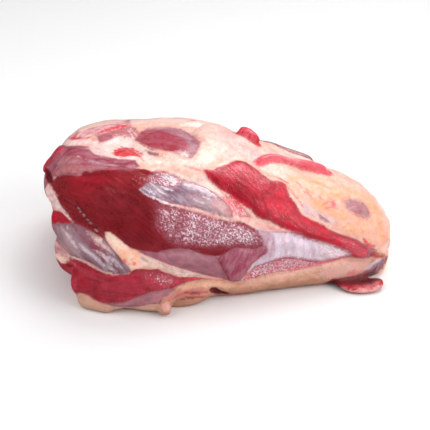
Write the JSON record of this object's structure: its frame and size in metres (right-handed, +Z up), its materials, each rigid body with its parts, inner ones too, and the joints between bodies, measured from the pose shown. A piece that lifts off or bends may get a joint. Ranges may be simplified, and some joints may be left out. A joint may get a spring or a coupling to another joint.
{
  "type": "raw beef shank",
  "caption": "Whole boneless raw beef shank, slumped and tapering, with muscles, silver skin, tendon and fat at its thin end, resting on its flat underside.",
  "frame": {"origin": "bottom centre of the box, on the surface that the meat rests on", "axes": "+X along the shank from the thick cut end to the thin fatty end, +Y from the shown front to the back, +Z up"},
  "size_m": [0.257, 0.1666, 0.1001],
  "materials": {
    "raw_meat": "moist raw red muscle with silver skin and pale fat"
  },
  "bodies": {
    "root": {"beef_shank": "raw_meat"}
  },
  "joints": []
}
